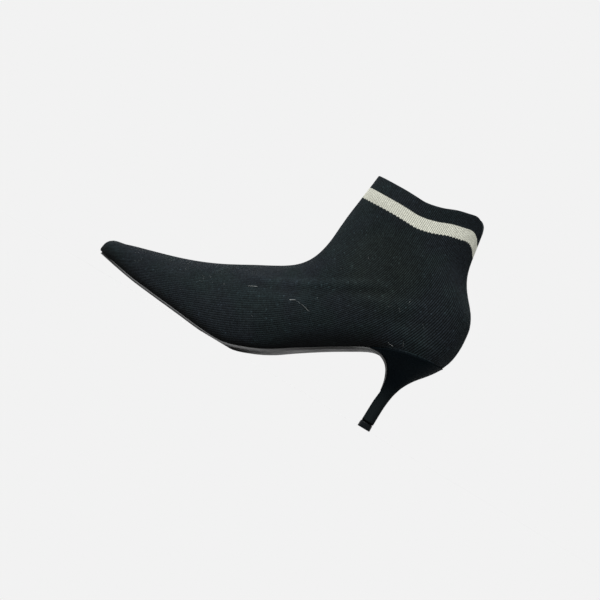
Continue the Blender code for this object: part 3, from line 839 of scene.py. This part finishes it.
def build_insole(material):
    """Build the lining sock inside the boot, its upper edge rounded."""
    fine = FINE_SUBSTEPS
    last = last_sections(fine)
    sides = [feather_line(last, side, -INSOLE_INSET, fine) for side in (-1, 1)]
    rings = []
    for i in range(len(sides[0][0])):
        ends = []
        for xs, ys in sides:
            z, slope = seat_height(last, xs[i], fine)
            ends.append(np.array([xs[i], ys[i], z, math.hypot(1, slope)]))
        ring = []
        for share, height in LINING_PROFILE:
            x, y, z, tall = ends[0] + (ends[1] - ends[0]) * share
            ring.append((x, y, z + INSOLE_THICKNESS * tall * height))
        rings.append(ring)
    return loft("lining_sock", rings, material)


def heel_outline(front, back, half, corner, full, stations):
    """Return a heel section's stations from the breast to the back: x and half widths."""
    out = []
    for k in range(stations + 1):
        share = math.sin(math.pi / 2 * k / stations)
        x = front + (back - front) * share
        if share < BREAST_SHARE:
            width = 1 - corner * (1 - share / BREAST_SHARE) ** 2
        else:
            past = (share - BREAST_SHARE) / (1 - BREAST_SHARE)
            width = max(1 - past ** full, 0.0) ** (1 / full)
        out.append((x, half * width, half * width))
    return out


def ring_of(stations, height):
    """Return a ring that runs up the outer side and back down the inner side."""
    outer = [(x, -out, height(x)) for x, out, _ in stations]
    inner = [(x, into, height(x)) for x, _, into in stations]
    return outer + inner[::-1]


def build_heel(material):
    """Loft the covered heel from its tip to the seat, with a fine bead round the seat."""
    stations = HEEL_STATIONS
    fine = FINE_SUBSTEPS
    last = last_sections(fine)
    heel = as_sections(HEEL_COLUMNS, HEEL_ROWS, fine)
    rings = []
    for i in range(len(heel["half"])):
        front, back = heel["front_x"][i], heel["back_x"][i]
        ends = (heel["front_z"][i], heel["back_z"][i])
        outline = heel_outline(
            front, back, heel["half"][i], heel["corner"][i], heel["full"][i], stations,
        )
        rings.append(ring_of(
            outline, lambda x, f=front, b=back, e=ends: float(np.interp(x, (f, b), e))
        ))
    for past, drop, ahead in SEAT_BEAD:
        outer_x, outer_y = feather_line(last, -1, SEAT_MARGIN + past, fine)
        inner_x, inner_y = feather_line(last, 1, SEAT_MARGIN + past, fine)
        seat_front = SEAT_FRONT_X - ahead
        outline = []
        for k in range(stations + 1):
            share = math.sin(math.pi / 2 * k / stations)
            x = seat_front + (outer_x[-1] - seat_front) * share
            outline.append((
                x, -float(np.interp(x, outer_x, outer_y)), float(np.interp(x, inner_x, inner_y))
            ))
        rings.append(ring_of(
            outline, lambda x, d=drop: float(seat_height(last, x, fine)[0]) - GAP - d
        ))
    width = len(rings[0])
    half = width // 2
    number = np.arange(len(rings) * width).reshape(len(rings), width)
    faces = ring_faces(number)
    for ring, over in ((number[0], False), (number[-1], True)):
        for k in range(half - 1):
            strip = [ring[k], ring[k + 1], ring[width - 2 - k], ring[width - 1 - k]]
            strip = [int(v) for v in strip]
            faces.append(strip[::-1] if over else strip)
    return mesh_object("heel_covered", np.array(rings).reshape(-1, 3), faces, material)


def build_top_piece(material):
    """Build the glossy wearing tip under the heel."""
    levels = (
        # height, inset
        (0.0, 0.5), (0.05, 0.25), (0.2, 0.08), (0.45, 0.0), (2.4, 0.05),
        (4.0, 0.12), (4.35, 0.2), (4.55, 0.4), (TOP_PIECE_HEIGHT, 0.7), (4.95, 0.75),
    )
    front, back = TOP_PIECE_ENDS
    rings = []
    for height, inset in levels:
        outline = heel_outline(
            front + inset, back - inset, TOP_PIECE_HALF - inset, TOP_PIECE_CORNER,
            TOP_PIECE_FULL, TOP_PIECE_STATIONS,
        )
        rings.append(ring_of(outline, lambda x, z=height: z))
    return loft("top_piece_glossy", rings, material)


class Shader:
    """A small helper that adds nodes to one Principled material."""

    def __init__(self, name, **constants):
        self.material = bpy.data.materials.new(name)
        self.material.use_nodes = True
        self.tree = self.material.node_tree
        self.surface = self.tree.nodes["Principled BSDF"]
        for socket, value in constants.items():
            self.surface.inputs[socket.replace("_", " ")].default_value = value

    def node(self, kind, settings=None, **inputs):
        """Add a node, set its properties and link or set its inputs."""
        node = self.tree.nodes.new("ShaderNode" + kind)
        for key, value in (settings or {}).items():
            setattr(node, key, value)
        for key, value in inputs.items():
            index = int(key[1:]) if key[0] == "i" and key[1:].isdigit() else key.replace("_", " ")
            if isinstance(value, bpy.types.NodeSocket):
                self.tree.links.new(value, node.inputs[index])
            else:
                node.inputs[index].default_value = value
        return node.outputs

    def math(self, operation, first, second=0.0, third=0.0):
        """Add a Math node and return its value."""
        return self.node(
            "Math", {"operation": operation}, i0=first, i1=second, i2=third
        )[0]

    def step(self, value, start, end, low=0.0, high=1.0):
        """Return a soft step from ``low`` to ``high`` as the value goes start to end."""
        return self.node(
            "MapRange", {"interpolation_type": "SMOOTHSTEP"}, Value=value,
            From_Min=start, From_Max=end, To_Min=low, To_Max=high,
        )[0]

    def product(self, *values):
        """Multiply the values."""
        result = values[0]
        for value in values[1:]:
            result = self.math("MULTIPLY", result, value)
        return result

    def axes(self, output="Object"):
        """Return X, Y and Z of the place in metres, or of the normal."""
        return self.node("SeparateXYZ", Vector=self.node("TexCoord")[output])

    def uv(self, name):
        """Return the two values of a UV map."""
        parts = self.node("SeparateXYZ", Vector=self.node("UVMap", {"uv_map": name})[0])
        return parts[0], parts[1]

    def noise(self, scale, detail=2.0):
        """Return a noise value in the object's own metres."""
        place = self.node("TexCoord")["Object"]
        return self.node("TexNoise", Vector=place, Scale=scale, Detail=detail)["Fac"]

    def mix(self, share, first, second):
        """Mix two colours."""
        return self.node(
            "Mix", {"data_type": "RGBA"}, i0=share, i6=first, i7=second
        )[2]

    def finish(self, colour, roughness, height, distance):
        """Link colour, roughness and relief to the surface."""
        bump = self.node("Bump", Strength=1.0, Distance=distance, Height=height)[0]
        for name, value in (("Base Color", colour), ("Roughness", roughness), ("Normal", bump)):
            self.tree.links.new(value, self.surface.inputs[name])
        return self.material


def knit_dark(s, fluff):
    """Return the dark colour of the knit, with patches and a greener ankle."""
    patch = s.step(s.noise(90.0, 3.0), 0.35, 0.75, 0.0, 0.35)
    dark = s.mix(patch, s.mix(s.step(fluff, 0.35, 0.7), *DARK_KNIT), PATCHED_KNIT)
    tint = s.mix(s.step(s.noise(38.0, 1.0), 0.38, 0.62), *TINTS)
    place = s.node("TexCoord")["Object"]
    ankle = s.node("VectorMath", {"operation": "DISTANCE"}, i0=place, i1=ANKLE_CENTRE)["Value"]
    tint = s.mix(s.step(ankle, *ANKLE_RADII), tint, ANKLE_TINT)
    return s.node("VectorMath", {"operation": "MULTIPLY"}, i0=dark, i1=tint)[0]


def knit_stripe(s, below, alternate):
    """Return where the stripe lies: straight above, toothed by the ribs below."""
    soft, tooth_soft, tooth_depth = 0.2, 0.35, 0.45
    tooth = s.math("MULTIPLY_ADD", alternate, -tooth_depth, STRIPE[1])
    upper_edge = s.step(below, STRIPE[0] - soft, STRIPE[0] + soft)
    lower_edge = s.step(s.math("SUBTRACT", below, tooth), tooth_soft, -tooth_soft)
    return s.product(upper_edge, lower_edge)


def knit_material():
    """Black rib knit with a cream stripe below the rim; its colour holds painted shade and
    highlights.
    """
    s = Shader(
        "knit_rib", Specular_IOR_Level=0.1, Sheen_Weight=0.01, Sheen_Roughness=0.4,
        Sheen_Tint=(0.75, 0.9, 1.0, 1.0),
    )
    rib, course = s.uv("knit")
    below, feather = s.uv("place")
    crease_height = s.uv("crease_height")[0]
    along = s.axes()[0]
    fluff = s.noise(2600.0, 3.0)

    # The pattern: grooves between ribs, slanted stitches and every second rib
    centre = s.math("ABSOLUTE", s.math("SUBTRACT", s.math("FRACT", rib), 0.5))
    groove = s.step(centre, 0.5, 0.12)
    slant = s.math("MULTIPLY_ADD", centre, 1.1, course)
    stitch = s.math("ABSOLUTE", s.math("SINE", s.math("MULTIPLY", slant, math.pi)))
    alternate = s.step(s.math("PINGPONG", s.math("SUBTRACT", rib, 0.5), 1.0), 0.2, 0.8)
    stripe = knit_stripe(s, below, alternate)
    cell = s.node("CombineXYZ", X=s.math("FLOOR", rib), Y=s.math("FLOOR", slant))[0]
    speckle = s.node("TexWhiteNoise", {"noise_dimensions": "2D"}, Vector=cell)["Value"]

    # The dark knit's tone: painted shade in the rib grooves, the stitch pattern, random specks,
    # and painted light and shade on the creases
    # Painted shade in the rib grooves against lighter crests, strongest toward the heel and near
    # the sole
    groove_shade_depth = s.math("MAXIMUM", s.step(along, *GROOVE_SHADE_ALONG), s.step(feather, *GROOVE_SHADE_EDGE))
    shade = s.product(
        s.math("MULTIPLY_ADD", s.math("SUBTRACT", groove, 0.66), groove_shade_depth, 0.95),
        s.math("MULTIPLY_ADD", alternate, 0.08, 0.92),
        s.math("MULTIPLY_ADD", stitch, 0.3, 0.75),
        s.math("MULTIPLY_ADD", speckle, 0.6, 0.7),
    )
    shade = s.math("ADD", shade, s.step(speckle, *BRIGHT_STITCHES))
    # Painted light on crease ridges and painted shade in crease troughs
    shade = s.math("MAXIMUM", s.product(shade, s.step(crease_height, *CREASE_LIGHT_AND_SHADE)), DARKEST)

    # The stripe's tone, then painted shade along the sole and a painted highlight on the knit's
    # folded edge at the heel seat
    # Painted shade in the stripe's rib grooves, and the stripe darker toward the front
    calm = s.product(
        s.math("MULTIPLY_ADD", groove, 0.36, 0.50),
        s.math("MULTIPLY_ADD", speckle, 0.10, 0.95),
        s.step(along, *STRIPE_ALONG),
    )
    plain = s.math("SUBTRACT", 1.0, stripe)
    shade = s.math("ADD", s.product(calm, stripe), s.product(shade, plain))
    seat = s.step(along, *SEAT_ALONG)
    # Painted shade along the sole, left out at the heel seat
    shade = s.product(shade, s.math("MAXIMUM", seat, s.step(feather, *SOLE_EDGE_SHADE)))
    # Painted highlight along the knit's folded edge at the heel seat
    fold_highlight = s.product(s.step(feather, *FOLD_HIGHLIGHT_EDGE), seat)
    shade = s.math("MULTIPLY_ADD", fold_highlight, FOLD_HIGHLIGHT_GAIN, shade)
    colour = s.mix(stripe, knit_dark(s, fluff), s.mix(s.step(fluff, 0.3, 0.7), *CREAM))
    colour = s.node("VectorMath", {"operation": "SCALE"}, Vector=colour, Scale=shade)[0]

    # Relief below the size of the mesh
    bumps = s.product(stitch, s.math("MULTIPLY_ADD", stripe, -0.3, 0.45))
    height = s.math("MULTIPLY_ADD", groove, 0.6, bumps)
    height = s.math("MULTIPLY_ADD", fluff, 0.5, s.product(height, s.step(feather, 0.3, 1.3)))
    return s.finish(colour, s.step(fluff, 0.2, 0.8, 0.78, 0.95), height, 0.00018)


def lint_material():
    """Pale hairs and fluff."""
    s = Shader("lint_pale", Specular_IOR_Level=0.2)
    shade = s.noise(150.0, 2.0)
    colour = s.mix(s.step(shade, 0.35, 0.65), (0.09, 0.10, 0.10, 1), (0.25, 0.26, 0.255, 1))
    return s.finish(colour, s.step(shade, 0.3, 0.7, 0.6, 0.9), s.noise(4000.0, 2.0), 0.00003)


def cover_material():
    """Smooth black cloth over the heel, with painted light on its lower stem and painted shade at
    its foot.
    """
    s = Shader(
        "heel_cloth", Specular_IOR_Level=0.03, Sheen_Weight=0.002, Sheen_Roughness=0.5,
        Sheen_Tint=(0.6, 0.9, 1.0, 1.0),
    )
    place = s.node("TexCoord")["Object"]
    weave = s.node(
        "TexWave", {"wave_type": "BANDS", "bands_direction": "Z"}, Vector=place,
        Scale=420.0, Distortion=0.6, Detail=2.0,
    )["Fac"]
    fluff = s.noise(3500.0, 2.0)
    patch = s.noise(120.0, 3.0)
    colour = s.mix(patch, (0.0010, 0.0021, 0.0031, 1), (0.0018, 0.0036, 0.0049, 1))
    up = s.axes()[2]
    # Painted light: the lower stem lighter
    colour = s.mix(s.step(up, 0.040, 0.018), colour, (0.0058, 0.0082, 0.0090, 1))
    # Painted shade: nearly black at the foot, as in the groove above the top piece
    colour = s.mix(s.step(up, 0.0064, 0.0056), colour, (0.001, 0.001, 0.001, 1))
    height = s.math("ADD", s.math("MULTIPLY", weave, 0.5), fluff)
    roughness = s.step(fluff, 0.2, 0.8, 0.72, 0.88)
    return s.finish(colour, roughness, height, 0.00005)


def sole_material():
    """Black sole, lighter grey below and behind the toe, partly from scuffing and partly as
    painted reflection, with painted reflections on its sides and a painted highlight on upward
    faces.
    """
    s = Shader("sole_gloss", Specular_IOR_Level=0.12)
    grain = s.noise(700.0, 4.0)
    smear = s.noise(60.0, 3.0)
    along = s.axes()[0]
    normal = s.axes("Normal")
    facing = normal[2]
    beside = s.step(s.math("ABSOLUTE", normal[1]), 0.2, 0.6)
    colour = s.mix(smear, (0.004, 0.004, 0.0045, 1), (0.009, 0.009, 0.009, 1))
    # Lighter grey below and behind the toe: partly scuffing, partly painted reflection
    scuffed_and_reflection_grey = s.mix(smear, (0.022, 0.022, 0.022, 1), (0.034, 0.034, 0.033, 1))
    scuffed_and_reflection_mask = s.math("MAXIMUM", s.step(facing, -0.3, -0.75), s.step(along, -0.150, -0.120))
    # Painted reflection on the sides of the forefoot
    forefoot = s.product(s.step(along, -0.215, -0.19), s.step(along, -0.076, -0.092), beside)
    # Painted reflection near the ball
    ball = s.product(
        s.step(along, -0.125, -0.108), s.step(along, -0.052, -0.092), s.step(facing, 0.2, -0.3)
    )
    # Painted reflection on the sides of the breast flap
    flap = s.product(s.step(along, -0.034, -0.026), beside)
    tones = (
        # where, colour
        (scuffed_and_reflection_mask, scuffed_and_reflection_grey),
        # Painted highlight on upward faces, the top of the sole's edge
        (s.step(facing, 0.35, 0.8, 0.0, 0.8), (0.075, 0.075, 0.074, 1)),
        # painted reflection on the forefoot's sides
        (forefoot, (0.070, 0.071, 0.072, 1)),
        # painted reflection near the ball
        (ball, (0.15, 0.151, 0.152, 1)),
        # painted reflection on the breast flap's sides
        (flap, (0.085, 0.086, 0.085, 1)),
    )
    for share, tone in tones:
        colour = s.mix(share, colour, tone)
    height = s.math("MULTIPLY_ADD", grain, 0.4, s.noise(120.0, 2.0))
    return s.finish(colour, s.step(smear, 0.3, 0.75, 0.42, 0.56), height, 0.00001)


def tip_material():
    """Glossy black moulded tip, with a painted highlight on its front face."""
    s = Shader("tip_gloss", Specular_IOR_Level=0.05)
    smear = s.noise(400.0, 3.0)
    facing = s.axes("Normal")[0]
    colour = s.mix(smear, (0.003, 0.004, 0.005, 1), (0.007, 0.008, 0.009, 1))
    # Painted highlight on the front face
    colour = s.mix(s.step(facing, -0.2, -0.8, 0.0, 0.9), colour, (0.05, 0.052, 0.052, 1))
    roughness = s.step(smear, 0.3, 0.75, 0.2, 0.4)
    return s.finish(colour, roughness, s.noise(900.0, 3.0), 0.00003)


def lining_material():
    """Soft dark lining of the inner sole."""
    s = Shader("lining_soft", Specular_IOR_Level=0.3, Sheen_Weight=0.15, Sheen_Roughness=0.4)
    grain = s.noise(1800.0, 4.0)
    colour = s.mix(s.noise(80.0, 3.0), (0.010, 0.010, 0.011, 1), (0.02, 0.02, 0.021, 1))
    return s.finish(colour, s.step(grain, 0.3, 0.8, 0.6, 0.85), grain, 0.00006)


def floor_material():
    """Plain pale floor."""
    s = Shader("floor_pale", Specular_IOR_Level=0.0)
    speck = s.noise(40.0, 2.0)
    colour = s.mix(speck, (0.40, 0.40, 0.40, 1), (0.41, 0.41, 0.41, 1))
    return s.finish(colour, s.step(speck, 0.3, 0.7, 0.8, 0.9), speck, 0.0001)


def dress(piece, node):
    """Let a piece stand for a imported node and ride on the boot."""
    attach(piece, "root")
    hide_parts(node)
    return piece


def aim(obj, place, target, roll=0.0):
    """Link an object, put it in its place and turn it to the target."""
    bpy.context.scene.collection.objects.link(obj)
    turn = (target - place).to_track_quat("-Z", "Y").to_matrix().to_4x4()
    obj.matrix_world = Matrix.Translation(place) @ turn @ Matrix.Rotation(roll, 4, "Z")


def make_camera():
    """Place the camera at the photo's angle: its eye at the floor's level, and rolled."""
    azimuth = math.radians(AZIMUTH)
    target = Vector(TARGET)
    eye = target + Vector((math.sin(azimuth), -math.cos(azimuth), 0.0)) * DISTANCE
    eye.z = EYE_HEIGHT
    data = bpy.data.cameras.new("camera")
    data.sensor_width = 36.0
    data.lens = data.sensor_width * (eye - target).length / VIEW_WIDTH
    data.clip_start, data.clip_end = 0.05, 50.0
    camera = bpy.data.objects.new("camera", data)
    aim(camera, eye, target, math.radians(ROLL))
    bpy.context.scene.camera = camera


def make_light(name, place, size, power):
    """Add one soft square light aimed at the boot."""
    data = bpy.data.lights.new(name, "AREA")
    data.shape, data.size, data.energy = "SQUARE", size, power
    aim(bpy.data.objects.new(name, data), Vector(place), Vector(LIGHT_AIM))


def make_stage():
    """Make the floor, the pale surroundings and the soft lights."""
    bm = bmesh.new()
    bmesh.ops.create_circle(bm, cap_ends=True, segments=FLOOR_SEGMENTS, radius=FLOOR_RADIUS)
    mesh = bpy.data.meshes.new("floor")
    bm.to_mesh(mesh)
    bm.free()
    mesh.materials.append(floor_material())
    floor = bpy.data.objects.new("floor", mesh)
    floor.location = FLOOR_PLACE
    bpy.context.scene.collection.objects.link(floor)
    world = bpy.data.worlds.new("world")
    world.use_nodes = True
    tree = world.node_tree
    direction = tree.nodes.new("ShaderNodeTexCoord")
    split = tree.nodes.new("ShaderNodeSeparateXYZ")
    fall = tree.nodes.new("ShaderNodeMapRange")
    fall.interpolation_type = "SMOOTHSTEP"
    for name, value in SKY:
        fall.inputs[name].default_value = value
    tree.links.new(direction.outputs["Generated"], split.inputs[0])
    tree.links.new(split.outputs["Z"], fall.inputs["Value"])
    tree.links.new(fall.outputs[0], tree.nodes["Background"].inputs["Color"])
    bpy.context.scene.world = world
    bpy.context.scene.view_settings.view_transform = "Standard"
    for light in LIGHTS:
        make_light(*light)


def main():
    """Dress every node of the boot and set the stage."""
    make_camera()
    wall = fine_wall()
    dress(build_knit(knit_material(), wall), "upper")
    lint = build_lint(lint_material(), wall)
    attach(lint, "root")
    dress(build_outsole(sole_material()), "outsole")
    dress(build_insole(lining_material()), "insole")
    dress(build_heel(cover_material()), "heel")
    dress(build_top_piece(tip_material()), "top_piece")
    make_stage()


main()
